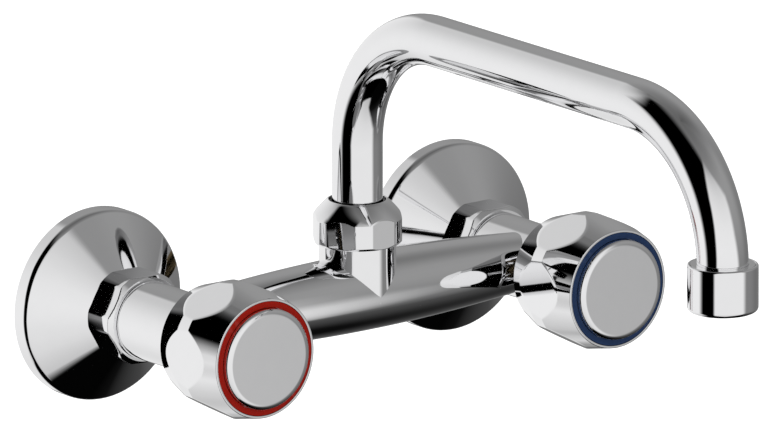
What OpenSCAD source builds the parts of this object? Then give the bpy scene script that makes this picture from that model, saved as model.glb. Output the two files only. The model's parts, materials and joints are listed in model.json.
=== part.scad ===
// Two handle kitchen faucet for a wall: two wall unions with cone covers carry a
// cast body, two ceramic valves with six-sided knobs, and a swivel spout.
// Millimetres. +X right, +Z up, the user stands at -Y. The wall is the plane
// y = 0 and the origin lies on it, midway between the two inlets.

/* [Layout] */
// Distance between the two wall inlets
inlet_spacing = 150; // [135:1:180]
// Distance from the wall to the middle of the barrel
barrel_from_wall = 49.5; // [47:0.5:58]
// Distance from the spout's pivot to its outlet
spout_reach = 198.5; // [140:0.5:280]
// Height of the spout's straight run above the arms
spout_run_z = 97.3; // [92:0.5:140]

/* [Wall unions] */
// Radius of the union's thread in the wall
wall_thread_r = 10.48; // [9:0.02:11.5]
// Length of thread that goes into the wall
wall_thread_l = 15; // [8:1:25]
// Bore of the union
union_bore_r = 7.6; // [5:0.1:8]
// Radius of the union's front thread
union_thread_r = 13.2; // [12.6:0.1:14]
// Length of the union's front thread behind its sealing face
union_thread_l = 17; // [12:0.5:18]
// Width across the flats of the union's wrench hexagon
union_hex_af = 27; // [26:0.5:30]
// Length of the union's wrench hexagon
union_hex_l = 5; // [3:0.5:6]
// Radius of the union between its hexagon and its front thread
union_waist_r = 12; // [11:0.1:13]
// Chamfer at the ends of the union's threads
union_chamfer = 0.8; // [0.4:0.1:1.2]

/* [Escutcheons] */
// Radius of the cone cover at the wall
escutcheon_r = 33; // [28:0.5:36]
// Depth of the cone cover from the wall
escutcheon_depth = 20; // [18:0.5:24]
// Height of the cover's straight rim
escutcheon_rim = 5.6; // [3:0.2:8]
// Radius of the cover's front face
escutcheon_front_r = 16.2; // [16:0.1:19]
// Sheet thickness of the cover
escutcheon_wall = 1.2; // [0.8:0.1:2]
// Radius that rounds the edge between the rim and the cone
escutcheon_edge_r = 2.8; // [1:0.1:4]
// Length of the threaded sleeve inside the cover
escutcheon_sleeve_l = 9; // [5:0.5:12]

/* [Union nuts] */
// Width across the flats
nut_af = 30; // [29:0.5:33]
// Radius that rounds the nut's corners
nut_corner_r = 16; // [15.6:0.1:17]
// Length of the nut
nut_l = 11.2; // [10:0.1:15]
// Length of the cone that chamfers the nut's front
nut_chamfer_l = 1.4; // [0.6:0.1:3]
// Radius of the nut's front face
nut_face_r = 14.4; // [13:0.1:14.8]
// Thickness of the nut's front shoulder
nut_shoulder = 3.2; // [1.5:0.1:4]

/* [Inlet tails] */
// Radius of the tail's neck through the nut
tail_neck_r = 11.2; // [10:0.1:11.6]
// Radius of the flange that holds the nut
tail_flange_r = 12.8; // [12.2:0.1:13.1]
// Thickness of that flange
tail_flange_t = 1.5; // [1:0.1:2]
// Radius of the tail's thread in the body
tail_thread_r = 9.5; // [8:0.1:10]
// Length of the tail's thread in the body
tail_thread_l = 7; // [5:0.5:8]
// Width across the flats of the tail's inner hexagon
tail_key_af = 12; // [10:0.5:13]
// Thickness of the sealing washer
washer_t = 1.8; // [1:0.1:2.4]

/* [Body casting] */
// Radius of a valve arm at its rear
arm_rear_r = 13.5; // [13:0.1:15]
// Radius of a valve arm at its front
arm_front_r = 13.1; // [12.8:0.1:14]
// Length of an arm in front of the barrel's middle
arm_front_l = 13; // [12:0.5:15]
// Bevel round the arm's edges
arm_bevel = 0.4; // [0.2:0.1:1]
// Gap between the nut and the arm
neck_gap = 0.3; // [0.3:0.1:3]
// Radius of the barrel in the middle
barrel_mid_r = 13.2; // [12.5:0.05:14]
// Radius of the barrel where it meets an arm
barrel_end_r = 9.4; // [9:0.1:11.5]
// Height of the barrel's middle above the arms' axes
barrel_z = 1.3; // [0:0.1:2]
// Bore of the barrel
barrel_bore_r = 6.5; // [4:0.1:7]
// Radius of the boss under the spout nut
boss_r = 13.15; // [12.9:0.05:14]
// Height of the boss shoulder above the arms' axes
boss_h = 19.2; // [16:0.1:22]
// Radius of the boss thread
boss_thread_r = 12.3; // [11.8:0.1:12.6]
// Length of the boss thread
boss_thread_l = 6; // [4:0.5:8]

/* [Spout nut] */
// Width across the flats
cap_nut_af = 29.2; // [28:0.2:30]
// Largest radius of the nut
cap_nut_r = 15.5; // [15:0.05:16]
// Radius of the nut's lower edge
cap_nut_foot_r = 14.6; // [13.3:0.1:15]
// Height of the chamfer under the nut
cap_nut_foot_h = 0.9; // [0.5:0.1:4]
// Height of the nut's hexagon with its lower chamfer
cap_nut_body_h = 8.8; // [8:0.1:14]
// Height of the domed top
cap_nut_dome_h = 6.3; // [3:0.1:7]
// Bulge of the domed top over a straight cone
cap_nut_dome_bulge = 0.5; // [0.2:0.1:1]
// Radius of the lip round the spout
cap_nut_lip_r = 9.9; // [9.6:0.1:11]

/* [Spout] */
// Radius of the spout tube
tube_r = 8.65; // [7:0.05:8.9]
// Wall of the spout tube
tube_wall = 1.2; // [0.8:0.1:2]
// Centre-line radius of the rear bend
rear_bend_r = 44; // [25:1:50]
// Centre-line radius of the front bend
front_bend_r = 47; // [25:1:50]
// Radius of the nose in the boss
nose_r = 9.6; // [8.5:0.1:10]
// Bore of the nose
nose_bore_r = 6.2; // [4:0.1:6.5]
// Depth of the nose below the collar
nose_l = 15; // [12:0.5:17]
// Radius of the collar on the boss
collar_r = 11.3; // [10.6:0.1:11.6]
// Thickness of the collar
collar_t = 2.4; // [1.5:0.1:3]
// Depth of the tube in its socket
socket_l = 6; // [4:0.5:8]
// Thickness of the glide ring on the collar
glide_t = 0.9; // [0.6:0.1:1.2]

/* [Aerator] */
// Radius of the aerator housing
aerator_r = 11.9; // [11.4:0.1:14]
// Height of the aerator housing
aerator_h = 16; // [13:0.5:20]
// Height of the housing's lower edge above the arms
aerator_z = 35.9; // [28:0.1:50]
// Wall of the housing
aerator_wall = 1; // [0.8:0.1:1.4]
// Radius that rounds the housing's upper edge
aerator_edge_r = 0.7; // [0.2:0.1:0.9]
// Radius that rounds the housing's lower edge
aerator_foot_r = 1.6; // [0.5:0.1:2]
// Radius of the stream opening
aerator_mouth_r = 9.6; // [8:0.1:10.2]
// Height of the ring that narrows the mouth
aerator_lip_h = 1; // [0.6:0.1:2]
// Height of the plastic insert
insert_h = 2.6; // [1.5:0.1:4]
// Radius of a hole in the insert
insert_hole_r = 1.1; // [0.6:0.1:1.3]
// Height of the washer over the insert
aerator_washer_h = 1.4; // [1:0.1:2]

/* [Headworks] */
// Radius of the headwork's lower body
headwork_r = 9.2; // [8.8:0.1:9.6]
// Radius of the headwork's thread
headwork_thread_r = 10.48; // [10:0.02:11]
// Width across the flats of the headwork's hexagon
headwork_hex_af = 17; // [16:0.5:19]
// Length of that hexagon
headwork_hex_l = 5; // [3:0.5:6]
// Radius of the flange under that hexagon
headwork_flange_r = 11.2; // [10.8:0.1:12]
// Thickness of that flange
headwork_flange_t = 1.4; // [1:0.1:2]
// Radius of the headwork's neck
headwork_neck_r = 6.4; // [6:0.1:7]
// Length of the headwork's neck
headwork_neck_l = 4; // [2:0.5:5]
// Depth from the barrel's middle to the valve seat
seat_depth = 7.5; // [7:0.5:8]
// Radius of the waterway through the seat
seat_bore_r = 6; // [4:0.1:6.5]
// Radius of the ceramic discs
disc_r = 7.9; // [7:0.1:8]
// Thickness of the fixed disc
fixed_disc_t = 2.2; // [1.5:0.1:3]
// Thickness of the turning disc
turning_disc_t = 3; // [2:0.1:3.5]
// Radius of the half-round port in a disc
port_r = 5.6; // [4:0.1:6]
// Thickness of the seal behind the fixed disc
seal_t = 2; // [1.5:0.1:2.5]
// Height of the outlet windows in the headwork
window_h = 6; // [4:0.5:7]
// Width of the outlet windows in the headwork
window_w = 9; // [6:0.5:10]
// Thickness of the gasket under the headwork's flange
gasket_t = 1; // [0.6:0.1:1.4]
// Length of the headwork's thread in the arm
headwork_thread_l = 6; // [4:0.5:7]
// Radius of the spindle in the headwork
spindle_r = 4.8; // [4.4:0.1:5]
// Length of the drive plate on the spindle
drive_t = 2.6; // [2:0.1:3]
// Outer radius of the spindle's teeth
spline_r = 4; // [3.6:0.1:4.2]
// Depth of the spindle's teeth
spline_depth = 0.4; // [0.2:0.05:0.5]
// Number of teeth on the spindle
spline_teeth = 20; // [12:2:24]

/* [Handles] */
// Gap between an arm and the back of its handle
handle_gap = 1.3; // [0.8:0.1:2]
// Radius of the handle's back edge
handle_back_r = 19.6; // [19:0.1:21]
// Length of the handle's back cone
handle_back_l = 13.7; // [12:0.1:16]
// Radius of the handle where its back cone ends
handle_ridge_back_r = 22.9; // [22:0.1:24]
// Length of the band between the two cones
handle_ridge_l = 4; // [2:0.1:5]
// Largest radius of the handle
handle_ridge_r = 23.65; // [23:0.05:25]
// Length of the handle's front cone
handle_front_l = 15; // [13:0.1:18]
// Radius of the handle's front rim
handle_front_r = 20.5; // [20.2:0.1:21.5]
// Distance of a facet from the axis at the band
facet_distance = 21.1; // [20.8:0.05:22]
// Tilt of a facet towards the back, in degrees
facet_tilt = 3.5; // [1:0.1:5]
// Wall of the handle
handle_wall = 2.4; // [1.6:0.1:3]
// Thickness of the handle's front web
handle_web = 4; // [3:0.5:6]
// Radius of the handle's hub
hub_r = 7.4; // [6.5:0.1:8]
// Length of the teeth in the handle's hub
hub_grip_l = 9; // [6:0.5:10]
// Number of facets round the handle
facets = 6; // [5:1:8]

/* [Caps and rings] */
// Outer radius of the coloured ring
index_ring_r = 19.55; // [19:0.05:20]
// Width of the coloured ring
index_ring_w = 2.1; // [1.5:0.1:2.5]
// Depth of the coloured ring in the handle
index_ring_t = 2; // [1:0.1:2.5]
// Radius of the cap's base
cap_r = 17.3; // [16.5:0.05:17.35]
// Radius of the cap's flat face
cap_face_r = 16; // [15.5:0.1:16.8]
// Height of the cap in front of the ring
cap_h = 2.3; // [1.5:0.1:3]
// Height of the cap's straight side in front of the ring
cap_side_h = 0.9; // [0.3:0.1:1.4]
// Wall of the cap
cap_wall = 1.4; // [0.8:0.1:1.8]
// Radius of the cap's plug in the screw well
cap_plug_r = 5.8; // [4.6:0.1:6]
// Length of the cap's plug
cap_plug_l = 3.5; // [2:0.5:4]
// Radius of the screw's head
screw_head_r = 3.9; // [3.4:0.1:4.4]
// Height of the screw's head
screw_head_h = 2.4; // [1.5:0.1:3]
// Radius of the screw's shank
screw_r = 2; // [1.6:0.1:2.4]
// Length of the screw's shank
screw_l = 11; // [8:0.5:12]

/* [O-rings and clearances] */
// Thickness of an O-ring's cord
ring_cord = 1.9; // [1.5:0.1:2.1]
// Clearance of a turning fit
running_fit = 0.05; // [0.02:0.01:0.1]
// Clearance of a seated or threaded fit
seat_fit = 0.05; // [0.02:0.01:0.1]
// Gap beside a loose piece
free_gap = 0.3; // [0.2:0.05:0.5]

/* [Hidden] */

$fn = 96;
hot = -1;
cold = 1;
over = 2 * free_gap;
chrome = "silver";
brass = "darkgoldenrod";
rubber = "dimgray";
ceramic = "ivory";

// Places along an arm, measured from the wall
nut_back = escutcheon_depth + seat_fit;
nut_front = nut_back + nut_l;
tail_flange_front = nut_front - nut_shoulder - seat_fit;
tail_flange_back = tail_flange_front - tail_flange_t;
union_front = tail_flange_back - washer_t;
arm_rear = nut_front + neck_gap;
arm_front = barrel_from_wall + arm_front_l;
seat = barrel_from_wall - seat_depth;
fixed_disc_back = seat + seal_t;
fixed_disc_front = fixed_disc_back + fixed_disc_t;
turning_disc_front = fixed_disc_front + turning_disc_t;
drive_front = turning_disc_front + drive_t;
headwork_shoulder = drive_front + free_gap;
headwork_flange_back = arm_front + gasket_t;
headwork_hex_back = headwork_flange_back + headwork_flange_t;
headwork_neck_back = headwork_hex_back + headwork_hex_l;
headwork_front = headwork_neck_back + headwork_neck_l;
handle_back = arm_front + handle_gap;
handle_ridge_back = handle_back + handle_back_l;
handle_ridge_front = handle_ridge_back + handle_ridge_l;
handle_front = handle_ridge_front + handle_front_l;
recess_floor = handle_front - index_ring_t;
web_back = recess_floor - handle_web;
screw_seat = web_back - hub_r / 2;
hub_bore_front = screw_seat - screw_r;
spindle_front = hub_bore_front - free_gap;
hub_back = hub_bore_front - hub_grip_l;
screw_end = screw_seat - screw_l;

// Small forms of the valve
clip_r = spindle_r + ring_cord / 2;
clip_t = running_fit + ring_cord / 2;
port_edge = ring_cord / 2;
tongue_w = spline_r / 2;
tongue_t = turning_disc_t / 2;
screw_well_r = cap_plug_r + seat_fit;

// Places up the boss and the spout
boss_top = boss_h + boss_thread_l;
collar_top = boss_top + running_fit + collar_t;
glide_top = collar_top + running_fit + glide_t;
cap_nut_shoulder = glide_top + running_fit;
cap_nut_top = boss_h + cap_nut_body_h + cap_nut_dome_h;
tube_foot = collar_top - socket_l;
nose_foot = boss_top + running_fit - nose_l;
boss_bore_foot = nose_foot - free_gap;
outlet_z = aerator_z + aerator_lip_h + insert_h + aerator_washer_h;
aerator_top = aerator_z + aerator_h;
ferrule_r = aerator_r - aerator_wall - seat_fit;
run_l = spout_reach - rear_bend_r - front_bend_r;

// A solid of revolution from its [radius, place] points
module turned(points) rotate_extrude() polygon(points);

// The points of a rounded corner, from one angle to another
corner_steps = 6;
function arc_points(centre, r, from, to) = [for (i = [0 : corner_steps])
    let (turn = from + (to - from) * i / corner_steps) centre + r * [cos(turn), sin(turn)]];

// A cylinder between two places on its axis
module rod(r, from, to) translate([0, 0, from]) cylinder(r = r, h = to - from);

// A cylinder with a bore
module sleeve(outer, inner, from, to)
    difference() {
        rod(outer, from, to);
        rod(inner, from - over, to + over);
    }

// A hexagonal bar with flats at the top and bottom
module hex_bar(af, from, to)
    translate([0, 0, from]) cylinder(r = af / sqrt(3), h = to - from, $fn = 6);

// A groove for an O-ring round a shaft
module ring_groove(shaft_r, place)
    sleeve(shaft_r + over, shaft_r - ring_cord,
        place - ring_cord / 2 - seat_fit, place + ring_cord / 2 + seat_fit);

// An O-ring that lies in that groove
module o_ring(shaft_r, place)
    translate([0, 0, place]) rotate_extrude()
        translate([shaft_r - ring_cord / 2, 0]) circle(r = ring_cord / 2);

// Places a piece on an arm: +Z of the piece runs from the wall to the user
module on_arm(side)
    translate([side * inlet_spacing / 2, 0, 0]) rotate([90, 0, 0]) children();

// Places a piece on the spout's pivot
module on_pivot() translate([0, -barrel_from_wall, 0]) children();

module wall_union(side)
    color(brass) on_arm(side) difference() {
        union() {
            turned([[0, -wall_thread_l], [wall_thread_r - union_chamfer, -wall_thread_l],
                [wall_thread_r, union_chamfer - wall_thread_l], [wall_thread_r, 0],
                [union_waist_r, 0], [union_waist_r, union_front - union_thread_l],
                [union_thread_r, union_front - union_thread_l],
                [union_thread_r, union_front - union_chamfer],
                [union_thread_r - union_chamfer, union_front], [0, union_front]]);
            hex_bar(union_hex_af, 0, union_hex_l);
        }
        rod(union_bore_r, -wall_thread_l - over, union_front + over);
    }

module escutcheon(side) {
    slope_share = (escutcheon_r - escutcheon_front_r) / (escutcheon_depth - escutcheon_rim);
    cone_tilt = atan(slope_share);
    lean = escutcheon_wall / cos(cone_tilt);
    edge_back = escutcheon_rim - escutcheon_edge_r * tan(cone_tilt / 2);
    hole_r = union_thread_r + seat_fit;
    sleeve_r = hole_r + escutcheon_wall;
    inner_front = escutcheon_depth - escutcheon_wall;
    color(chrome) on_arm(side) turned(concat(
        [[escutcheon_r - escutcheon_wall, 0], [escutcheon_r, 0]],
        arc_points([escutcheon_r - escutcheon_edge_r, edge_back], escutcheon_edge_r,
            0, cone_tilt),
        [[escutcheon_front_r, escutcheon_depth], [hole_r, escutcheon_depth],
            [hole_r, inner_front - escutcheon_sleeve_l],
            [sleeve_r, inner_front - escutcheon_sleeve_l], [sleeve_r, inner_front],
            [escutcheon_front_r + escutcheon_wall * slope_share - lean, inner_front],
            [escutcheon_r - escutcheon_wall,
                escutcheon_rim - (lean - escutcheon_wall) / slope_share]]));
}

module union_nut(side) {
    color(chrome) on_arm(side) difference() {
        intersection() {
            hex_bar(nut_af, nut_back, nut_front);
            turned([[0, nut_back], [nut_corner_r, nut_back],
                [nut_corner_r, nut_front - nut_chamfer_l], [nut_face_r, nut_front],
                [0, nut_front]]);
        }
        rod(union_thread_r + seat_fit, nut_back - over, nut_front - nut_shoulder);
        rod(tail_neck_r + seat_fit, nut_back, nut_front + over);
    }
}

module inlet_tail(side)
    color(chrome) on_arm(side) difference() {
        union() {
            rod(tail_flange_r, tail_flange_back, tail_flange_front);
            rod(tail_neck_r, tail_flange_back, arm_rear);
            rod(tail_thread_r, arm_rear - over, arm_rear + tail_thread_l);
        }
        hex_bar(tail_key_af, tail_flange_back - over, arm_rear);
        rod(tail_key_af / 2, tail_flange_back, arm_rear + tail_thread_l + over);
    }

module inlet_washer(side)
    color(rubber) on_arm(side)
        sleeve(tail_flange_r, union_bore_r, union_front, tail_flange_back);

// The barrel's bulge: its radius at a share of the way from the middle to an arm
bulge_steps = 16;
function bulge_r(share) = barrel_mid_r - (barrel_mid_r - barrel_end_r) * share * share;

module barrel(half_l) {
    rotate([0, 90, 0]) turned(concat([[0, -half_l]],
        [for (i = [-bulge_steps : bulge_steps])
            [bulge_r(i / bulge_steps), half_l * i / bulge_steps]],
        [[0, half_l]]));
}

module arm_shape()
    turned([[0, arm_rear], [arm_rear_r - arm_bevel, arm_rear], [arm_rear_r, arm_rear + arm_bevel],
        [arm_front_r, arm_front - arm_bevel], [arm_front_r - arm_bevel, arm_front],
        [0, arm_front]]);

module arm_bores() {
    rod(tail_thread_r + seat_fit, arm_rear - over, arm_rear + tail_thread_l + seat_fit);
    rod(seat_bore_r, arm_rear, seat + over);
    rod(headwork_r + seat_fit, seat, arm_front);
    rod(headwork_thread_r + seat_fit, arm_front - headwork_thread_l, arm_front + over);
}

module body_casting()
    color(chrome) difference() {
        union() {
            on_pivot() translate([0, 0, barrel_z]) barrel(inlet_spacing / 2);
            for (side = [hot, cold]) on_arm(side) arm_shape();
            on_pivot() rod(boss_r, 0, boss_h);
            on_pivot() rod(boss_thread_r, boss_h - over, boss_top);
        }
        for (side = [hot, cold]) on_arm(side) arm_bores();
        on_pivot() translate([0, 0, barrel_z]) rotate([0, 90, 0])
            rod(barrel_bore_r, -inlet_spacing / 2, inlet_spacing / 2);
        on_pivot() rod(barrel_bore_r, 0, boss_bore_foot + over);
        on_pivot() rod(nose_r + running_fit, boss_bore_foot, boss_top + over);
    }

module headwork(side) {
    chamber_r = disc_r + running_fit;
    window_back = fixed_disc_front + free_gap;
    color(brass) on_arm(side) difference() {
        union() {
            rod(headwork_r, seat + seal_t / 2, arm_front);
            rod(headwork_thread_r, arm_front - headwork_thread_l, headwork_flange_back);
            rod(headwork_flange_r, headwork_flange_back, headwork_hex_back);
            hex_bar(headwork_hex_af, headwork_hex_back, headwork_neck_back);
            rod(headwork_neck_r, headwork_neck_back - over, headwork_front);
        }
        rod(chamber_r, seat, headwork_shoulder);
        rod(spindle_r + running_fit, seat, headwork_front + over);
        translate([-headwork_r - over, -window_w / 2, window_back])
            cube([2 * (headwork_r + over), window_w, window_h]);
    }
}

module headwork_gasket(side)
    color(rubber) on_arm(side)
        sleeve(headwork_flange_r, headwork_thread_r + seat_fit, arm_front, headwork_flange_back);

module headwork_seal(side)
    color(rubber) on_arm(side) sleeve(disc_r - seat_fit, seat_bore_r, seat, fixed_disc_back);

// The upper half of a cylinder
module half_rod(r, from, to, offset)
    intersection() {
        rod(r, from, to);
        translate([-r, offset, from]) cube([2 * r, r, to - from]);
    }

module fixed_disc(side)
    color(ceramic) on_arm(side) difference() {
        rod(disc_r, fixed_disc_back, fixed_disc_front);
        half_rod(port_r, fixed_disc_back - over, fixed_disc_front + over, port_edge);
    }

module turning_disc(side)
    color(ceramic) on_arm(side) difference() {
        rod(disc_r, fixed_disc_front, turning_disc_front);
        rotate([0, 0, 180])
            half_rod(disc_r + over, fixed_disc_front - over, turning_disc_front + over, port_edge);
        translate([-disc_r - over, tongue_w / 2 + seat_fit, turning_disc_front - tongue_t - seat_fit])
            cube([2 * (disc_r + over), tongue_w, tongue_t + over]);
    }

// The toothed outline of the spindle's end, grown or shrunk by a clearance
function spline_points(grow) = [for (i = [0 : 2 * spline_teeth - 1])
    (spline_r + grow - (i % 2) * spline_depth)
        * [cos(180 * i / spline_teeth), sin(180 * i / spline_teeth)]];

module spline_bar(grow, from, to)
    translate([0, 0, from]) linear_extrude(height = to - from) polygon(spline_points(grow));

// Places of the two O-rings between the spindle and the headwork
spindle_ring_places = [for (i = [1, 2]) headwork_shoulder + i * 2 * ring_cord];

module spindle(side) {
    clip_back = headwork_front + running_fit;
    color(brass) on_arm(side) difference() {
        union() {
            rod(disc_r - seat_fit, turning_disc_front, drive_front);
            translate([-disc_r / 2, tongue_w / 2 + 2 * seat_fit, turning_disc_front - tongue_t])
                cube([disc_r, tongue_w - 2 * seat_fit, tongue_t + over]);
            rod(spindle_r, drive_front - over, clip_back + clip_t + free_gap);
            spline_bar(0, clip_back, spindle_front);
        }
        for (place = spindle_ring_places) ring_groove(spindle_r, place);
        sleeve(spindle_r + over, spline_r - spline_depth, clip_back, clip_back + clip_t);
        rod(screw_r + seat_fit, screw_end - over, spindle_front + over);
    }
}

module spindle_o_rings(side)
    color(rubber) on_arm(side) for (place = spindle_ring_places) o_ring(spindle_r, place);

module spindle_clip(side) {
    clip_back = headwork_front + running_fit;
    color("gray") on_arm(side) difference() {
        sleeve(clip_r, spline_r - spline_depth, clip_back, clip_back + clip_t);
        translate([-spline_depth, 0, clip_back - over])
            cube([2 * spline_depth, clip_r + over, clip_t + 2 * over]);
    }
}

// The handle's outer form: two cones and a band, cut by flat facets
module handle_form()
    intersection() {
        turned([[0, handle_back], [handle_back_r, handle_back],
            [handle_ridge_back_r, handle_ridge_back], [handle_ridge_r, handle_ridge_front],
            [handle_front_r, handle_front], [0, handle_front]]);
        facet_block();
    }

// A block with one tilted face for each facet
module facet_block() {
    middle = handle_ridge_back + handle_ridge_l / 2;
    block = 2 * handle_ridge_r;
    intersection_for(i = [0 : facets - 1])
        rotate([0, 0, i * 360 / facets]) translate([facet_distance, 0, middle])
            rotate([0, facet_tilt, 0]) translate([-2 * block, -block, -block])
                cube([2 * block, 2 * block, 2 * block]);
}

module handle(side) {
    cavity_back_r = handle_back_r - handle_wall;
    cavity_front_r = facet_distance - handle_wall;
    color(chrome) on_arm(side) difference() {
        handle_form();
        difference() {
            turned([[0, handle_back - over], [cavity_back_r, handle_back - over],
                [cavity_back_r, handle_back], [cavity_front_r, handle_ridge_front],
                [cavity_front_r, web_back - handle_wall], [cavity_front_r - handle_wall, web_back],
                [0, web_back]]);
            rod(hub_r, hub_back, web_back + over);
        }
        spline_bar(seat_fit, hub_back - over, hub_bore_front);
        rod(screw_r + seat_fit, hub_back, screw_seat + over);
        rod(screw_well_r, screw_seat, handle_front + over);
        rod(index_ring_r + seat_fit, recess_floor, handle_front + over);
    }
}

module handle_screw(side)
    color("gray") on_arm(side) difference() {
        union() {
            rod(screw_r, screw_end, screw_seat + over);
            rod(screw_head_r, screw_seat, screw_seat + screw_head_h);
        }
        hex_bar(screw_r * sqrt(3), screw_seat + screw_head_h / 2, screw_seat + screw_head_h + over);
    }

module index_ring(side, colour)
    color(colour) on_arm(side)
        sleeve(index_ring_r, index_ring_r - index_ring_w, recess_floor, handle_front);

module cap(side) {
    cap_front = handle_front + cap_h;
    ceiling = cap_front - cap_wall;
    color(chrome) on_arm(side) turned([
        [0, recess_floor - cap_plug_l], [cap_plug_r, recess_floor - cap_plug_l],
        [cap_plug_r, ceiling], [cap_face_r - cap_wall, ceiling],
        [cap_r - cap_wall, recess_floor], [cap_r, recess_floor],
        [cap_r, handle_front + cap_side_h],
        [cap_face_r, cap_front], [0, cap_front]]);
}

// The nut's dome as points from the hexagon up to the lip
dome_steps = 8;
function dome_point(share) = [
    cap_nut_r - (cap_nut_r - cap_nut_lip_r) * share
        + 4 * cap_nut_dome_bulge * share * (1 - share),
    boss_h + cap_nut_body_h + cap_nut_dome_h * share];

module spout_nut()
    color(chrome) on_pivot() difference() {
        intersection() {
            turned(concat([[0, boss_h], [cap_nut_foot_r, boss_h],
                [cap_nut_r, boss_h + cap_nut_foot_h]],
                [for (i = [0 : dome_steps]) dome_point(i / dome_steps)],
                [[0, cap_nut_top]]));
            hex_bar(cap_nut_af, boss_h - over, cap_nut_top + over);
        }
        rod(boss_thread_r + seat_fit, boss_h - over, cap_nut_shoulder);
        rod(tube_r + free_gap, boss_h, cap_nut_top + over);
    }

module spout_glide_ring()
    color("white") on_pivot()
        sleeve(collar_r, tube_r + running_fit, collar_top + running_fit, glide_top);

// Places of the two O-rings on the nose
nose_ring_places = [for (i = [1, 2]) nose_foot + i * 2 * ring_cord];

module spout_nose()
    color(brass) on_pivot() difference() {
        union() {
            rod(nose_r, nose_foot, collar_top);
            rod(collar_r, collar_top - collar_t, collar_top);
        }
        for (place = nose_ring_places) ring_groove(nose_r, place);
        rod(nose_bore_r, nose_foot - over, collar_top);
        rod(tube_r + seat_fit, tube_foot, collar_top + over);
    }

module spout_o_rings()
    color(rubber) on_pivot() for (place = nose_ring_places) o_ring(nose_r, place);

// A quarter bend in the plane of the spout, round its own centre
module quarter_bend(bend_r, r)
    rotate([90, 0, 90]) rotate_extrude(angle = 90) translate([bend_r, 0]) circle(r = r);

// The path of the spout, filled to a radius
module spout_path(r, past) {
    rod(r, tube_foot - past, spout_run_z - rear_bend_r);
    translate([0, -rear_bend_r, spout_run_z - rear_bend_r]) quarter_bend(rear_bend_r, r);
    translate([0, -rear_bend_r, spout_run_z]) rotate([90, 0, 0]) rod(r, 0, run_l);
    translate([0, front_bend_r - spout_reach, spout_run_z - front_bend_r])
        rotate([90, 0, 0]) quarter_bend(front_bend_r, r);
    translate([0, -spout_reach, 0]) rod(r, outlet_z - past, spout_run_z - front_bend_r);
}

module spout_tube()
    color(chrome) on_pivot() difference() {
        spout_path(tube_r, 0);
        spout_path(tube_r - tube_wall, over);
    }

// Places a piece on the outlet's axis
module on_outlet() on_pivot() translate([0, -spout_reach, 0]) children();

module outlet_ferrule()
    color(chrome) on_outlet() sleeve(ferrule_r, tube_r + seat_fit, outlet_z, aerator_top - seat_fit);

module aerator_washer()
    color(rubber) on_outlet()
        sleeve(ferrule_r - seat_fit, tube_r - tube_wall, outlet_z - aerator_washer_h, outlet_z);

// Rings of holes round the insert's middle hole
insert_rings = 2;

module aerator_insert() {
    pitch = 3 * insert_hole_r;
    color("lightgray") on_outlet() difference() {
        rod(ferrule_r - seat_fit, outlet_z - aerator_washer_h - insert_h, outlet_z - aerator_washer_h);
        for (q = [-insert_rings : insert_rings], r = [-insert_rings : insert_rings])
            if (abs(q + r) <= insert_rings)
                translate([pitch * (q + r / 2), pitch * r * sqrt(3) / 2, 0])
                    rod(insert_hole_r, aerator_z, outlet_z);
    }
}

module aerator_housing() {
    inner_r = aerator_r - aerator_wall;
    color(chrome) on_outlet() turned(concat(
        [[aerator_mouth_r, aerator_z]],
        arc_points([aerator_r - aerator_foot_r, aerator_z + aerator_foot_r], aerator_foot_r, -90, 0),
        arc_points([aerator_r - aerator_edge_r, aerator_top - aerator_edge_r], aerator_edge_r, 0, 90),
        [[inner_r, aerator_top], [inner_r, aerator_z + aerator_lip_h],
            [aerator_mouth_r, aerator_z + aerator_lip_h]]));
}

body_casting();
wall_union(hot);  // hot_wall_union
wall_union(cold);  // cold_wall_union
escutcheon(hot);  // hot_escutcheon
escutcheon(cold);  // cold_escutcheon
union_nut(hot);  // hot_union_nut
union_nut(cold);  // cold_union_nut
inlet_tail(hot);  // hot_inlet_tail
inlet_tail(cold);  // cold_inlet_tail
inlet_washer(hot);  // hot_inlet_washer
inlet_washer(cold);  // cold_inlet_washer
headwork(hot);  // hot_headwork
headwork(cold);  // cold_headwork
headwork_gasket(hot);  // hot_headwork_gasket
headwork_gasket(cold);  // cold_headwork_gasket
headwork_seal(hot);  // hot_headwork_seal
headwork_seal(cold);  // cold_headwork_seal
fixed_disc(hot);  // hot_fixed_disc
fixed_disc(cold);  // cold_fixed_disc
turning_disc(hot);  // hot_turning_disc
turning_disc(cold);  // cold_turning_disc
spindle(hot);  // hot_spindle
spindle(cold);  // cold_spindle
spindle_o_rings(hot);  // hot_spindle_o_rings
spindle_o_rings(cold);  // cold_spindle_o_rings
spindle_clip(hot);  // hot_spindle_clip
spindle_clip(cold);  // cold_spindle_clip
handle(hot);  // hot_handle
handle(cold);  // cold_handle
handle_screw(hot);  // hot_handle_screw
handle_screw(cold);  // cold_handle_screw
index_ring(hot, "firebrick");  // hot_index_ring
index_ring(cold, "royalblue");  // cold_index_ring
cap(hot);  // hot_cap
cap(cold);  // cold_cap
spout_nut();
spout_glide_ring();
spout_nose();
spout_o_rings();
spout_tube();
outlet_ferrule();
aerator_washer();
aerator_insert();
aerator_housing();
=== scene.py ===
# The looks of a chrome wall tap with two handles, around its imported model.
# Metres. +X right, +Z up, the user stands at -Y and the wall is the plane y = 0.
import json
import math

import bpy
import numpy as np
from mathutils import Matrix, Vector


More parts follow.
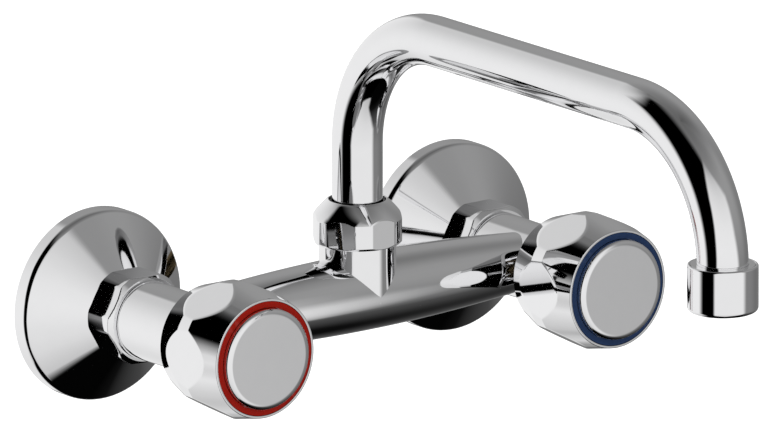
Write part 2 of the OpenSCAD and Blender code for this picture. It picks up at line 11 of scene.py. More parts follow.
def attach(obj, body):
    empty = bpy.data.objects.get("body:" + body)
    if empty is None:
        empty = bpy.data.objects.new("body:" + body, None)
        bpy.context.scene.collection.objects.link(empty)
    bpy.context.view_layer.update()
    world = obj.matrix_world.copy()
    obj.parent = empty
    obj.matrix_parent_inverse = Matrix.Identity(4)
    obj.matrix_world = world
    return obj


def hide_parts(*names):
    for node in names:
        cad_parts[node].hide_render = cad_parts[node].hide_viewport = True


# Camera: a long lens at the photograph's angle
CAMERA_AZIMUTH = -37.497
CAMERA_ELEVATION = 14.4
CAMERA_ROLL = -0.112
CAMERA_TARGET = (-0.02744, -0.1, 0.0425)
CAMERA_DISTANCE = 6.793
CAMERA_LENS = 950
CAMERA_CLIP = 60

# Stage: the floor, the plain light of the world, and one soft lamp
FLOOR_Z = -0.15
FLOOR_HALF = 20
FLOOR_COLOUR = (0.86, 0.86, 0.86, 1)
FLOOR_ROUGHNESS = 0.8
FLOOR_LIFT = 0.6
PLAIN_LIGHT = 0.78
LAMP_PLACE = (-0.9, -1.2, 1.5)
LAMP_AIM = (0, -0.1, 0)
LAMP_SIZE = 1.2
LAMP_POWER = 9

# The studio that the chrome mirrors, over directions: azimuth 0 is towards the
# user and 90 towards +X, elevation 90 is straight up. The tables run over the
# elevation. Levels are display values from 0 to 255. LEFT and RIGHT are a panel's
# sides, and each SOFT is how far its two sides fade.
GREY_LEVELS = (
    (-90, 3), (-62, 3), (-55, 16), (-50, 45), (-45, 59), (-38, 72), (-30, 106), (-20, 120),
    (-10, 126), (0, 135), (10, 141), (20, 145), (30, 146), (40, 144), (50, 134), (60, 121),
    (75, 106), (90, 95),
)
# The grey is darker about an azimuth: where, how far to each side, and how much
SIDE_DIP = (95, 38, 0.23)
FRONT_LEVELS = (
    (-90, 150), (-64, 184), (-58, 193), (-52, 201), (-46, 208), (-40, 215), (-32, 220),
    (-24, 223), (-16, 227), (-8, 229.5), (0, 230.5), (8, 229), (16, 226), (24, 220), (32, 212),
    (40, 200), (46, 186), (52, 158), (58, 124), (64, 106), (90, 95),
)
FRONT_LEFT = (
    (-90, 0), (-72, 0), (-66, -32), (-62, -44), (-58, -52), (-52, -61), (-46, -68), (-40, -70),
    (-32, -67.5), (-24, -65.5), (-16, -66.5), (-8, -63), (0, -61), (8, -58.5), (16, -57),
    (24, -56), (32, -52.5), (40, -47), (46, -41.5), (52, -36), (58, -28), (64, -20), (90, -20),
)
FRONT_RIGHT = (
    (-90, -30), (-72, -30), (-66, -15), (-62, -12), (-58, -10), (-52, 6), (-46, 18.5),
    (-40, 27), (-32, 37.5), (-24, 38.3), (-16, 37), (-8, 35), (0, 31), (8, 27.5), (16, 27.5),
    (24, 28), (32, 27), (38, 17), (43, 8), (48, -4), (54, -18), (64, -20), (90, -20),
)
FRONT_SOFT = (4.5, 9)
BACK_LEVELS = (
    (-90, 3), (-58, 3), (-57, 10), (-54.5, 192), (-52, 202), (-44, 215), (-36, 225),
    (-28, 231), (-20, 232.5), (-10, 233), (0, 231.5), (6, 229.5), (12, 227), (18, 224), (24, 219),
    (30, 213), (36, 205), (42, 193), (48, 173), (54, 143), (60, 110), (90, 98),
)
# These azimuths count from the back: 0 is straight behind the wall and 90 is -X
BACK_LEFT = (
    (-90, 64), (-60, 66), (-52, 66), (-44, 64), (-36, 62), (-28, 62), (-20, 64), (-10, 68),
    (0, 68), (6, 65), (12, 62), (18, 57.5), (24, 51), (28, 43), (33, 42), (36, 43), (42, 41),
    (48, 38), (54, 32), (60, 24), (90, 20),
)
BACK_RIGHT = (
    (-90, -26), (-60, -20), (-52, -18), (-44, -26), (-36, -32), (-20, -31), (0, -29.5), (6, -28),
    (12, -26), (18, -23.5), (24, -20), (30, -16.5), (36, -11), (42, -7), (48, 0), (54, 3), (60, 0),
    (90, 0),
)
BACK_SOFT = (4, 9)
# The dark field: the azimuth and elevation of its top, how that top falls away to
# the sides, its fade, and the azimuths where it comes and goes
DARK_AZIMUTH = -110
DARK_TOP = 71
DARK_TOP_BEND = 420.0
DARK_SOFT = (9, 14)
DARK_SIDES = (-176, -150, -45, -8)

# Finishes by slot: dark and light colour, lowest and highest roughness, metallic,
# grain per metre along X, Y and Z, relief in metres, and wear along edges
FINISHES = {
    "chrome": (
        (0.92, 0.92, 0.93), (0.94, 0.94, 0.948), (0.018, 0.042), 1,
        (240, 240, 240), 1.6e-6, 0.06,
    ),
    # brass: both colours sit far below real brass, a painted shade for the headwork deep inside
    # the casting; only the spread between them is random tone
    "brass": (
        (0.36, 0.27, 0.14), (0.48, 0.36, 0.2), (0.2, 0.34), 1,
        (60, 1800, 60), 1.2e-5, 0.12,
    ),
    "rubber": (
        (0.012, 0.012, 0.013), (0.03, 0.03, 0.031), (0.5, 0.72), 0,
        (900, 900, 900), 1.5e-5, 0.1,
    ),
    "ceramic": (
        (0.8, 0.79, 0.75), (0.88, 0.87, 0.84), (0.1, 0.2), 0,
        (2600, 2600, 2600), 2e-6, 0.1,
    ),
    "steel": (
        (0.52, 0.52, 0.53), (0.66, 0.66, 0.67), (0.24, 0.36), 1,
        (60, 2200, 60), 8e-6, 0.1,
    ),
    "white_plastic": (
        (0.74, 0.74, 0.72), (0.82, 0.82, 0.8), (0.3, 0.42), 0,
        (1400, 1400, 1400), 4e-6, 0.08,
    ),
    "grey_plastic": (
        (0.42, 0.42, 0.44), (0.52, 0.52, 0.54), (0.34, 0.46), 0,
        (1400, 1400, 1400), 5e-6, 0.08,
    ),
    "red_ring": (
        (0.29, 0.004, 0.0), (0.34, 0.008, 0.001), (0.16, 0.26), 0,
        (900, 900, 900), 3e-6, 0.02,
    ),
    "blue_ring": (
        (0.012, 0.031, 0.088), (0.019, 0.042, 0.112), (0.16, 0.26), 0,
        (900, 900, 900), 3e-6, 0.02,
    ),
}
RING_GLOSS = 0.12
CHROME_SHARE = 0.93
HAZE_SCALE = 45
HAZE_DETAIL = 4
GRAIN_DETAIL = 3
# Noise values where a shade and a roughness are at their ends, and where wear and
# an edge's pointiness start and are full
SHADE_NOISE = (0.3, 0.7)
ROUGH_NOISE = (0.7, 1.3)
WEAR_NOISE = (0.35, 0.65)
WEAR_POINTINESS = (0.52, 0.62)

# Sizes in millimetres, as in the CAD. Places on an arm run from the wall to the
# user, and places on the pivot and the outlet run up from the arms' axes.
MM = 0.001
ARM_X = {"hot": -75, "cold": 75}
PIVOT_Y = -49.5
OUTLET_Y = -248

# Casting: the bulged barrel, the arms that taper a little, and the boss
BARREL_HALF = 75
BARREL_Z = 1.3
BARREL_R = 13.2
BARREL_FALL = 3.8
ARM_REAR = 31.95
ARM_REAR_R = 13.5
ARM_FRONT = 62.1
ARM_FRONT_R = 13.1
BOSS_R = 13.15
CASTING_NEAR = 0.08
CASTING_TURN = 1.0

# Spout tube: its ends and the bends of its centre line
TUBE_R = 8.65
TUBE_BORE_R = 7.45
TUBE_START = 21.65
TUBE_RISE = 31.65
REAR_BEND = 44
TUBE_RUN = 107.5
FRONT_BEND = 47
TUBE_FALL = 9.4
TUBE_LENGTH = TUBE_RISE + (REAR_BEND + FRONT_BEND) * math.pi / 2 + TUBE_RUN + TUBE_FALL
TUBE_EDGE = 0.25

# Cap: its edge is a quarter of an ellipse
CAP_R = 17.3
CAP_FACE = 98.8
CAP_EDGE_WIDTH = 2
CAP_EDGE_DEPTH = 1.2
CAP_EDGE_STEPS = 15

# Dome of the spout nut: a bulged line from its foot inwards and up
DOME_FOOT = (15.5, 28)
DOME_TOP = (9.9, 34.3)
DOME_BULGE = 2
DOME_STEPS = 14

# Outlines: closed, as (radius, place, corner radius), with the outside on the
# right. A corner radius of 0 is a smooth point on a curve.
COVER = (
    (33, 0, 0.2), (33, 6, 2.8), (15.05, 18.6, 0.3), (13.25, 18.6, 0.3), (13.25, 9.8, 0.2),
    (14.45, 9.8, 0.2), (14.45, 17.4, 0.2), (31.8, 5.3, 1.5), (31.8, 0, 0.2),
)
UNION_NUT = (
    (16, 18.65, 0.2), (16, 29.85, 0.25), (14.4, 31.25, 0.25), (11.25, 31.25, 0.25),
    (11.25, 28.05, 0.15), (13.25, 28.05, 0.15), (13.25, 18.65, 0.2),
)
KNOB = (
    (18.95, 63.3, 0.4), (22.95, 75.8, 0.8), (23.65, 82, 0.5), (20.5, 96.5, 0.3),
    (19.65, 96.5, 0.15), (19.65, 94.5, 0.1), (5.85, 94.5, 0.15), (5.85, 86.8, 0.15),
    (4.05, 86.8, 0.1), (4.05, 75.8, 0.3), (7.4, 75.8, 0.3), (7.4, 90.5, 0.5), (16.3, 90.5, 0.6),
    (18.7, 88.1, 0.6), (18.7, 81.5, 0.6), (17.2, 63.3, 0.4),
)
INDEX_RING = ((19.58, 94.52, 0.1), (19.58, 96.4, 0.25), (17.4, 96.4, 0.15), (17.4, 94.52, 0.1))
CAP_EDGE = tuple(
    (
        CAP_R - CAP_EDGE_WIDTH * (1 - math.cos(turn)),
        CAP_FACE - CAP_EDGE_DEPTH * (1 - math.sin(turn)),
        0,
    )
    for turn in (step / CAP_EDGE_STEPS * math.pi / 2 for step in range(CAP_EDGE_STEPS + 1))
)
CAP = (
    (0, 91, 0), (5.8, 91, 0.3), (5.8, 97.2, 0.3), (14.4, 97.2, 0.3), (15.9, 94.55, 0.2),
    (CAP_R, 94.55, 0.15), *CAP_EDGE, (15.1, CAP_FACE, 0), (0, CAP_FACE, 0),
)
DOME = tuple(
    (
        DOME_FOOT[0] + (DOME_TOP[0] - DOME_FOOT[0]) * share + DOME_BULGE * share * (1 - share),
        DOME_FOOT[1] + (DOME_TOP[1] - DOME_FOOT[1]) * share,
        0,
    )
    for share in (step / DOME_STEPS for step in range(1, DOME_STEPS))
)
SPOUT_NUT = (
    (14.6, 19.2, 0.2), (15.5, 20.1, 0.3), (15.5, 28, 0.5), *DOME, (9.7, 34.3, 0.2),
    (9.7, 28.65, 0.15), (12.35, 28.65, 0.15), (12.35, 19.2, 0.3),
)
AERATOR = (
    (11.9, 35.9, 1.6), (11.9, 51.9, 0.7), (10.9, 51.9, 0.25), (10.9, 36.9, 0.15),
    (9.6, 36.9, 0.15), (9.6, 35.9, 0.35),
)
TUBE = (
    (TUBE_R, 0, TUBE_EDGE), (TUBE_R, TUBE_LENGTH, TUBE_EDGE),
    (TUBE_BORE_R, TUBE_LENGTH, TUBE_EDGE), (TUBE_BORE_R, 0, TUBE_EDGE),
)

# Flat sides: how many, the first one's angle, distance from the axis at a place,
# growth of that distance along the axis, and roundness of the edges
NUT_FLATS = (6, 30, 15, 20, 0, 0.25)
KNOB_FLATS = (6, 0, 21.38, 79.5, 0.045, 0.25)
SPOUT_NUT_FLATS = (6, 30, 14.6, 20, 0, 0.25)

# Mesh: steps and sides of a turned piece, and the radius beyond which an outline
# with flat sides is cut into steps
ARC_STEPS = 5
FLAT_STEP = 0.45
TUBE_STEP = 1.5
ROUND_SIDES = 180
FLAT_SIDES = 480
NUT_STEPS_R = 14
KNOB_STEPS_R = 20.4
SPOUT_NUT_STEPS_R = 13.5


def linear(level):
    """A display value from 0 to 255 as scene-linear light."""
    share = level / 255
    return share / 12.92 if share <= 0.04045 else ((share + 0.055) / 1.055) ** 2.4


class Graph:
    """Adds shader nodes with short calls. Each call returns an output socket."""

    def __init__(self, tree):
        self.tree = tree

    def node(self, kind, **settings):
        made = self.tree.nodes.new("ShaderNode" + kind)
        for name, value in settings.items():
            setattr(made, name, value)
        return made

    def link(self, value, socket):
        if isinstance(value, bpy.types.NodeSocket):
            self.tree.links.new(value, socket)
        else:
            socket.default_value = value

    def math(self, operation, *values, clamp=False):
        made = self.node("Math", operation=operation, use_clamp=clamp)
        for value, socket in zip(values, made.inputs):
            self.link(value, socket)
        return made.outputs[0]

    def remap(self, value, low, high, to_low=0.0, to_high=1.0, smooth=False):
        kind = "SMOOTHSTEP" if smooth else "LINEAR"
        made = self.node("MapRange", interpolation_type=kind)
        for given, socket in zip((value, low, high, to_low, to_high), made.inputs):
            self.link(given, socket)
        return made.outputs[0]

    def curve(self, value, points, low, high):
        """A line through points (input, output), for outputs from low to high."""
        first, last = points[0][0], points[-1][0]
        made = self.node("FloatCurve")
        line = made.mapping.curves[0]
        while len(line.points) < len(points):
            line.points.new(0.5, 0.5)
        for spot, (x, y) in zip(line.points, points):
            spot.location = ((x - first) / (last - first), (y - low) / (high - low))
            spot.handle_type = "VECTOR"
        made.mapping.update()
        self.link(self.remap(value, first, last), made.inputs["Value"])
        return self.remap(made.outputs[0], 0.0, 1.0, low, high)

    def noise(self, scale, detail):
        """Noise from 0 to 1 with this many grains a metre along X, Y and Z."""
        stretch = self.node("Mapping")
        self.link(self.node("TexCoord").outputs["Object"], stretch.inputs["Vector"])
        stretch.inputs["Scale"].default_value = scale
        made = self.node("TexNoise")
        self.link(stretch.outputs[0], made.inputs["Vector"])
        made.inputs["Scale"].default_value = 1.0
        made.inputs["Detail"].default_value = detail
        return made.outputs[0]

    def mix_colour(self, share, low, high):
        """low where share is 0 and high where it is 1, for colours."""
        made = self.node("Mix", data_type="RGBA")
        for given, socket in zip((share, low, high), made.inputs[:1] + made.inputs[6:8]):
            self.link(given, socket)
        return made.outputs[2]

    def mix(self, share, low, high):
        """low where share is 0 and high where it is 1, for numbers."""
        made = self.node("Mix", data_type="FLOAT")
        for given, socket in zip((share, low, high), made.inputs[:1] + made.inputs[2:4]):
            self.link(given, socket)
        return made.outputs[0]


def levels(graph, height, table):
    """The light of a table of display values at this elevation."""
    return graph.curve(height, [(x, linear(y)) for x, y in table], 0.0, 1.0)


def between(graph, value, low, high, low_soft, high_soft):
    """1 where value lies between two outlines, with soft sides."""
    rise = graph.math("SUBTRACT", value, low)
    fall = graph.math("SUBTRACT", high, value)
    return graph.math(
        "MULTIPLY",
        graph.remap(rise, -low_soft, low_soft, smooth=True),
        graph.remap(fall, -high_soft, high_soft, smooth=True),
    )


def studio_light(graph):
    """The brightness that the chrome mirrors in each direction."""
    direction = graph.node("TexCoord").outputs["Generated"]
    split = graph.node("SeparateXYZ")
    graph.link(direction, split.inputs[0])
    x, y, z = split.outputs
    degrees = 180 / math.pi
    back_x, back_y = graph.math("MULTIPLY", x, -1.0), graph.math("MULTIPLY", y, -1.0)
    front = graph.math("MULTIPLY", graph.math("ARCTAN2", x, back_y), degrees)
    back = graph.math("MULTIPLY", graph.math("ARCTAN2", back_x, y), degrees)
    height = graph.math("MULTIPLY", graph.math("ARCSINE", z), degrees)

    grey = levels(graph, height, GREY_LEVELS)
    dip_at, dip_half, dip = SIDE_DIP
    away = graph.math("ABSOLUTE", graph.math("SUBTRACT", front, dip_at))
    grey = graph.math("MULTIPLY", grey, graph.remap(away, 0, dip_half, 1 - dip, 1, smooth=True))
    aside = graph.math("ABSOLUTE", graph.math("SUBTRACT", front, DARK_AZIMUTH))
    fall = graph.math("DIVIDE", graph.math("POWER", aside, 2.0), DARK_TOP_BEND)
    top = graph.math("SUBTRACT", DARK_TOP, fall)
    under = graph.remap(
        graph.math("SUBTRACT", top, height), -DARK_SOFT[1], DARK_SOFT[0], smooth=True
    )
    sides = graph.math(
        "MULTIPLY",
        graph.remap(front, DARK_SIDES[0], DARK_SIDES[1], smooth=True),
        graph.remap(front, DARK_SIDES[3], DARK_SIDES[2], smooth=True),
    )
    dark = graph.math("MULTIPLY", under, sides)
    light = graph.math("MULTIPLY", grey, graph.math("SUBTRACT", 1.0, dark))

    panels = (
        (front, FRONT_LEFT, FRONT_RIGHT, FRONT_SOFT, FRONT_LEVELS),
        (back, BACK_RIGHT, BACK_LEFT, BACK_SOFT, BACK_LEVELS),
    )
    for azimuth, low, high, soft, table in panels:
        shape = between(
            graph, azimuth,
            graph.curve(height, low, -180, 180), graph.curve(height, high, -180, 180), *soft,
        )
        light = graph.mix(shape, light, levels(graph, height, table))
    return graph.math("DIVIDE", light, CHROME_SHARE)


def build_world():
    """White to the camera, plain light for the object, and a studio in the chrome."""
    world = bpy.data.worlds.new("studio")
    bpy.context.scene.world = world
    world.use_nodes = True
    world.node_tree.nodes.clear()
    world.cycles.sampling_method = "NONE"
    graph = Graph(world.node_tree)
    rays = graph.node("LightPath").outputs
    mirrored = graph.math("ADD", rays["Is Glossy Ray"], rays["Is Transmission Ray"], clamp=True)
    seen = graph.mix(mirrored, PLAIN_LIGHT, studio_light(graph))
    seen = graph.mix(rays["Is Camera Ray"], seen, 1.0)
    background = graph.node("Background")
    background.inputs["Color"].default_value = (1, 1, 1, 1)
    graph.link(seen, background.inputs["Strength"])
    output = graph.node("OutputWorld")
    graph.link(background.outputs[0], output.inputs["Surface"])


def build_camera():
    azimuth, height = math.radians(CAMERA_AZIMUTH), math.radians(CAMERA_ELEVATION)
    back = Vector((
        math.sin(azimuth) * math.cos(height),
        -math.cos(azimuth) * math.cos(height),
        math.sin(height),
    ))
    right = Vector((math.cos(azimuth), math.sin(azimuth), 0))
    up = back.cross(right)
    turn = Matrix.Rotation(math.radians(CAMERA_ROLL), 3, back)
    axes = Matrix((turn @ right, turn @ up, back)).transposed()
    data = bpy.data.cameras.new("camera")
    data.lens = CAMERA_LENS
    data.clip_end = CAMERA_CLIP
    camera = bpy.data.objects.new("camera", data)
    camera.matrix_world = (
        Matrix.Translation(Vector(CAMERA_TARGET) + back * CAMERA_DISTANCE) @ axes.to_4x4()
    )
    bpy.context.scene.collection.objects.link(camera)
    bpy.context.scene.camera = camera


def principled(name, metallic=0.0):
    """A material with a shader in it, and its node graph."""
    made = bpy.data.materials.new(name)
    made.use_nodes = True
    made.node_tree.nodes.clear()
    graph = Graph(made.node_tree)
    shader = graph.node("BsdfPrincipled")
    shader.inputs["Metallic"].default_value = metallic
    output = graph.node("OutputMaterial")
    graph.link(shader.outputs[0], output.inputs["Surface"])
    return made, graph, shader


def finish(name, dark, light, roughness, metallic, grain, relief, wear):
    """A surface with haze, fine grain and slightly worn edges, fixed to the object."""
    made, graph, shader = principled(name, metallic)
    haze = graph.noise((HAZE_SCALE,) * 3, HAZE_DETAIL)
    fine = graph.noise(grain, GRAIN_DETAIL)
    pointiness = graph.node("NewGeometry").outputs["Pointiness"]
    edge = graph.remap(pointiness, *WEAR_POINTINESS, smooth=True)
    edge = graph.math("MULTIPLY", edge, graph.remap(haze, *WEAR_NOISE))
    shade = graph.math("ADD", graph.remap(haze, *SHADE_NOISE), graph.remap(fine, *SHADE_NOISE))
    shade = graph.math("MULTIPLY", shade, 0.5)
    pale = [share + (1 - share) * wear for share in light]
    colour = graph.mix_colour(shade, (*dark, 1), (*light, 1))
    graph.link(graph.mix_colour(edge, colour, (*pale, 1)), shader.inputs["Base Color"])
    rough = graph.remap(graph.math("ADD", haze, fine), *ROUGH_NOISE, *roughness)
    worn = graph.math("MULTIPLY", edge, wear)
    graph.link(graph.math("ADD", rough, worn, clamp=True), shader.inputs["Roughness"])
    bump = graph.node("Bump")
    bump.inputs["Distance"].default_value = relief
    graph.link(fine, bump.inputs["Height"])
    graph.link(bump.outputs[0], shader.inputs["Normal"])
    if name.endswith("_ring"):
        shader.inputs["Specular IOR Level"].default_value = RING_GLOSS
    return made


def build_floor():
    half = FLOOR_HALF
    mesh = bpy.data.meshes.new("floor")
    corners = [(-half, -half), (half, -half), (half, half), (-half, half)]
    mesh.from_pydata([(x, y, FLOOR_Z) for x, y in corners], [], [(0, 1, 2, 3)])
    floor = bpy.data.objects.new("floor", mesh)
    bpy.context.scene.collection.objects.link(floor)
    paint, graph, shader = principled("floor_paint")
    shader.inputs["Base Color"].default_value = FLOOR_COLOUR
    shader.inputs["Roughness"].default_value = FLOOR_ROUGHNESS
    rays = graph.node("LightPath").outputs
    shader.inputs["Emission Color"].default_value = (1, 1, 1, 1)
    lift = graph.math("MULTIPLY", rays["Is Camera Ray"], FLOOR_LIFT)
    graph.link(lift, shader.inputs["Emission Strength"])
    mesh.materials.append(paint)
    floor.visible_glossy = False


def build_lamp(name, place, aim, size, power):
    data = bpy.data.lights.new(name, "AREA")
    data.shape = "SQUARE"
    data.size = size
    data.energy = power
    lamp = bpy.data.objects.new(name, data)
    lamp.location = place
    lamp.rotation_euler = (Vector(aim) - Vector(place)).to_track_quat("-Z", "Y").to_euler()
    lamp.visible_glossy = False
    bpy.context.scene.collection.objects.link(lamp)


def unit(vector):
    return vector / np.linalg.norm(vector, axis=-1, keepdims=True)


def outline_rows(corners, step=None, above=0.0):
    """Points and outward normals of an outline with its corners rounded.

    Stretches along the axis that reach beyond the radius above are cut into steps."""
    spots = [np.array(corner[:2], float) for corner in corners]
    is_open = corners[0][0] == 0 and corners[-1][0] == 0
    rows = []
    for i, (_, _, size) in enumerate(corners):
        here, before, after = spots[i], spots[i - 1], spots[(i + 1) % len(spots)]
        if is_open and i in (0, len(spots) - 1):
            rows.append((here, np.array((0.0, -1.0 if i == 0 else 1.0))))
            continue
        come, go = unit(here - before), unit(after - here)
        normals = [np.array((line[1], -line[0])) for line in (come, go)]
        if size == 0:
            rows.append((here, unit(normals[0] + normals[1])))
            continue
        bend = math.acos(max(-1.0, min(1.0, float(come @ go))))
        reach = size * math.tan(bend / 2)
        outward = 1 if float(normals[0] @ go) < 0 else -1
        centre = here - come * reach - normals[0] * size * outward
        for k in range(ARC_STEPS + 1):
            share = k / ARC_STEPS
            normal = unit(normals[0] * (1 - share) + normals[1] * share)
            rows.append((centre + normal * size * outward, normal))
    if step is None:
        return rows, is_open
    cut = []
    ends = rows[1:] + ([] if is_open else rows[:1])
    for (start, start_normal), (end, end_normal) in zip(rows, ends):
        length = float(np.linalg.norm(end - start))
        is_cut = max(start[0], end[0]) > above and start[1] != end[1]
        count = math.ceil(length / step) if is_cut else 1
        for k in range(count):
            share = k / count
            normal = unit(start_normal * (1 - share) + end_normal * share)
            cut.append((start + (end - start) * share, normal))
    if is_open:
        cut.append(rows[-1])
    return cut, is_open


def straight(origin, axis):
    """A centre line: its points and directions at given places."""
    origin, axis = np.array(origin, float), np.array(axis, float)
    return lambda place: (origin + place[:, None] * axis, np.repeat(axis[None], len(place), 0))


def spout_line(place):
    """The spout's bent centre line, up from the boss, forward and down to the outlet."""
    quarter = math.pi / 2
    run_start = TUBE_RISE + REAR_BEND * quarter
    fall_start = run_start + TUBE_RUN + FRONT_BEND * quarter
    rear = np.clip((place - TUBE_RISE) / REAR_BEND, 0, quarter)
    front = np.clip((place - run_start - TUBE_RUN) / FRONT_BEND, 0, quarter)
    forward = REAR_BEND * (1 - np.cos(rear)) + np.clip(place - run_start, 0, TUBE_RUN)
    forward += FRONT_BEND * np.sin(front)
    height = TUBE_START + np.clip(place, 0, TUBE_RISE) + REAR_BEND * np.sin(rear)
    height -= FRONT_BEND * (1 - np.cos(front)) + np.maximum(place - fall_start, 0)
    turn = rear + front
    still = np.zeros_like(place)
    points = np.stack((still, PIVOT_Y - forward, height), -1)
    return points, np.stack((still, -np.sin(turn), np.cos(turn)), -1)


def trimmed(radius, place, angle, normal, flats):
    """Cuts a round surface by flat sides with rounded edges."""
    count, first, distance, at, growth, edge = flats
    pitch = 2 * math.pi / count
    nearest = np.round((angle - math.radians(first)) / pitch) * pitch + math.radians(first)
    plane = (distance + growth * (place - at)) / np.cos(angle - nearest)
    share = np.clip(0.5 + 0.5 * (plane - radius) / edge, 0, 1)
    cut = plane * (1 - share) + radius * share - edge * share * (1 - share)
    flat = np.stack(
        (np.cos(angle - nearest), -np.sin(angle - nearest), np.full_like(cut, -growth)), -1
    )
    return cut, unit(normal * share[..., None] + unit(flat) * (1 - share[..., None]))


def turned_piece(name, outline, line, sides=ROUND_SIDES, step=None, above=0.0, flats=None):
    """A piece whose outline turns about a centre line."""
    rows, is_open = outline_rows(outline, step, above)
    angle = np.arange(sides) * 2 * math.pi / sides
    shape = (len(rows), sides)
    radius = np.broadcast_to(np.array([spot[0] for spot, _ in rows])[:, None], shape)
    place = np.array([spot[1] for spot, _ in rows])
    normal = np.zeros((*shape, 3))
    normal[..., 0] = np.array([out[0] for _, out in rows])[:, None]
    normal[..., 2] = np.array([out[1] for _, out in rows])[:, None]
    if flats:
        radius, normal = trimmed(
            radius, np.broadcast_to(place[:, None], shape), np.broadcast_to(angle, shape),
            normal, flats,
        )
    centres, along = line(place)
    across = np.broadcast_to((1.0, 0.0, 0.0), along.shape)
    aside = np.cross(along, across)
    spoke = np.cos(angle)[:, None] * across[:, None] + np.sin(angle)[:, None] * aside[:, None]
    sweep = np.cos(angle)[:, None] * aside[:, None] - np.sin(angle)[:, None] * across[:, None]
    points = (centres[:, None] + radius[..., None] * spoke) * MM
    normals = (
        normal[..., :1] * spoke + normal[..., 1:2] * sweep + normal[..., 2:] * along[:, None]
    )
    index = np.arange(len(rows) * sides).reshape(shape)
    if is_open:
        index[0], index[-1] = index[0, 0], index[-1, 0]
    used, index = np.unique(index, return_inverse=True)
    index = index.reshape(shape)
    if not is_open:
        index = np.concatenate((index, index[:1]))
    index = np.concatenate((index, index[:, :1]), 1)
    corners = (index[:-1, :-1], index[:-1, 1:], index[1:, 1:], index[1:, :-1])
    # A pole's repeated corners fall out, which leaves a triangle
    faces = np.stack(corners, -1).reshape(-1, 4).tolist()
    faces = [tuple(dict.fromkeys(face)) for face in faces]
    points, normals = points.reshape(-1, 3)[used], unit(normals.reshape(-1, 3)[used])
    mesh = bpy.data.meshes.new(name)
    mesh.from_pydata(points.tolist(), [], faces)
    mesh.polygons.foreach_set("use_smooth", [True] * len(mesh.polygons))
    mesh.normals_split_custom_set_from_vertices(normals.tolist())
    piece = bpy.data.objects.new(name, mesh)
    bpy.context.scene.collection.objects.link(piece)
    return piece


def casting_normals(points, flats):
    """The casting's true normals at the corners of its faces, where a corner lies on
    the barrel, an arm or the boss, and the face's own elsewhere. Millimetres."""
    normals = flats.copy()
    x, y, z = points.T
    zero, one = np.zeros_like(x), np.ones_like(x)
    share = x / BARREL_HALF
    forms = [(
        np.stack((zero, y - PIVOT_Y, z - BARREL_Z), -1),
        BARREL_R - BARREL_FALL * share**2,
        np.stack((2 * BARREL_FALL * share / BARREL_HALF, zero, zero), -1),
    )]
    for centre in ARM_X.values():
        slope = (ARM_REAR_R - ARM_FRONT_R) / (ARM_FRONT - ARM_REAR)
        forms.append((
            np.stack((x - centre, zero, z), -1),
            ARM_REAR_R + slope * (y + ARM_REAR),
            np.stack((zero, -slope * one, zero), -1),
        ))
    forms.append((np.stack((x, y - PIVOT_Y, zero), -1), BOSS_R * one, np.zeros_like(points)))
    least = CASTING_NEAR * one
    for spoke, radius, lean in forms:
        reach = np.linalg.norm(spoke, axis=-1)
        true = unit(spoke / np.maximum(reach, 1e-6)[:, None] + lean)
        off = abs(reach - radius) + CASTING_TURN * (1 - (true * flats).sum(-1))
        best = off < least
        normals[best], least[best] = true[best], off[best]
    return normals


def casting_piece(node):
    """The CAD's casting with smooth round surfaces between its edges."""
    mesh = node.data.copy()
    mesh.name = "valve_body"
    corner = np.zeros(len(mesh.loops), int)
    mesh.loops.foreach_get("vertex_index", corner)
    points = np.zeros(len(mesh.vertices) * 3)
    mesh.vertices.foreach_get("co", points)
    flats = np.array([face.normal for face in mesh.polygons for _ in range(face.loop_total)])
    normals = casting_normals(points.reshape(-1, 3)[corner] / MM, flats)
    mesh.polygons.foreach_set("use_smooth", [True] * len(mesh.polygons))
    mesh.normals_split_custom_set(normals.tolist())
    mesh.materials.clear()
    piece = bpy.data.objects.new("valve_body", mesh)
    bpy.context.scene.collection.objects.link(piece)
    return piece


def place_piece(piece, node, frame, finishes):
    """Puts a piece in its CAD node's place, on the node's body and with its finish."""
    record = frame["record"]
    bodies = record["behaviour"]["bodies"]
    body = next(name for name, nodes in bodies.items() if node in nodes)
    slot = next(part["material_slot"] for part in record["subparts"] if part["node"] == node)
    piece.data.materials.append(finishes[slot])
    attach(piece, body)
    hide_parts(node)


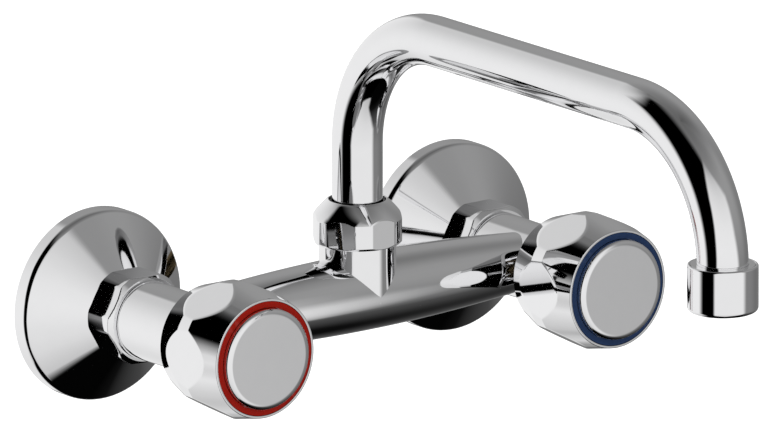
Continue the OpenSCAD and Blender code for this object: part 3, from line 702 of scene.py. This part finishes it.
def build_pieces(frame, finishes):
    """The chromed pieces that show most, with rounded edges."""
    flat = {"sides": FLAT_SIDES, "step": FLAT_STEP}
    made = {}
    for side, x in ARM_X.items():
        arm = straight((x, 0, 0), (0, -1, 0))
        made[f"{side}_escutcheon"] = turned_piece(f"{side}_cover", COVER, arm)
        made[f"{side}_union_nut"] = turned_piece(
            f"{side}_wall_nut", UNION_NUT, arm, above=NUT_STEPS_R, flats=NUT_FLATS, **flat
        )
        made[f"{side}_handle"] = turned_piece(
            f"{side}_knob", KNOB, arm, above=KNOB_STEPS_R, flats=KNOB_FLATS, **flat
        )
        made[f"{side}_index_ring"] = turned_piece(f"{side}_ring", INDEX_RING, arm)
        made[f"{side}_cap"] = turned_piece(f"{side}_button", CAP, arm)
    made["spout_nut"] = turned_piece(
        "domed_nut", SPOUT_NUT, straight((0, PIVOT_Y, 0), (0, 0, 1)),
        above=SPOUT_NUT_STEPS_R, flats=SPOUT_NUT_FLATS, **flat,
    )
    made["aerator_housing"] = turned_piece(
        "aerator_ring", AERATOR, straight((0, OUTLET_Y, 0), (0, 0, 1))
    )
    made["spout_tube"] = turned_piece("bent_tube", TUBE, spout_line, step=TUBE_STEP)
    made["body_casting"] = casting_piece(frame["nodes"]["body_casting"])
    for node, piece in made.items():
        place_piece(piece, node, frame, finishes)


def dress(frame):
    """Gives every CAD piece its slot's finish, and returns the finishes."""
    finishes = {name: finish(name, *values) for name, values in FINISHES.items()}
    for part in frame["record"]["subparts"]:
        node = frame["nodes"][part["node"]]
        node.data.materials.clear()
        node.data.materials.append(finishes[part["material_slot"]])
    return finishes


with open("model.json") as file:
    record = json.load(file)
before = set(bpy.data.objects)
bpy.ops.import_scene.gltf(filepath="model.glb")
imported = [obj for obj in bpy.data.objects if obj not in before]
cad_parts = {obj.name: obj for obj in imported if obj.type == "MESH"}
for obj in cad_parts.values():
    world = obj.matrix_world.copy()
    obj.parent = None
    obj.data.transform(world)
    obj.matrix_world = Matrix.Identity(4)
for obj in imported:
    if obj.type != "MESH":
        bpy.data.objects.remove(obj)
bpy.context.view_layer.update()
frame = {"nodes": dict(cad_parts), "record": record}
build_camera()
build_world()
build_floor()
build_lamp("key_lamp", LAMP_PLACE, LAMP_AIM, LAMP_SIZE, LAMP_POWER)
build_pieces(frame, dress(frame))

bpy.context.scene.view_settings.view_transform = "Standard"
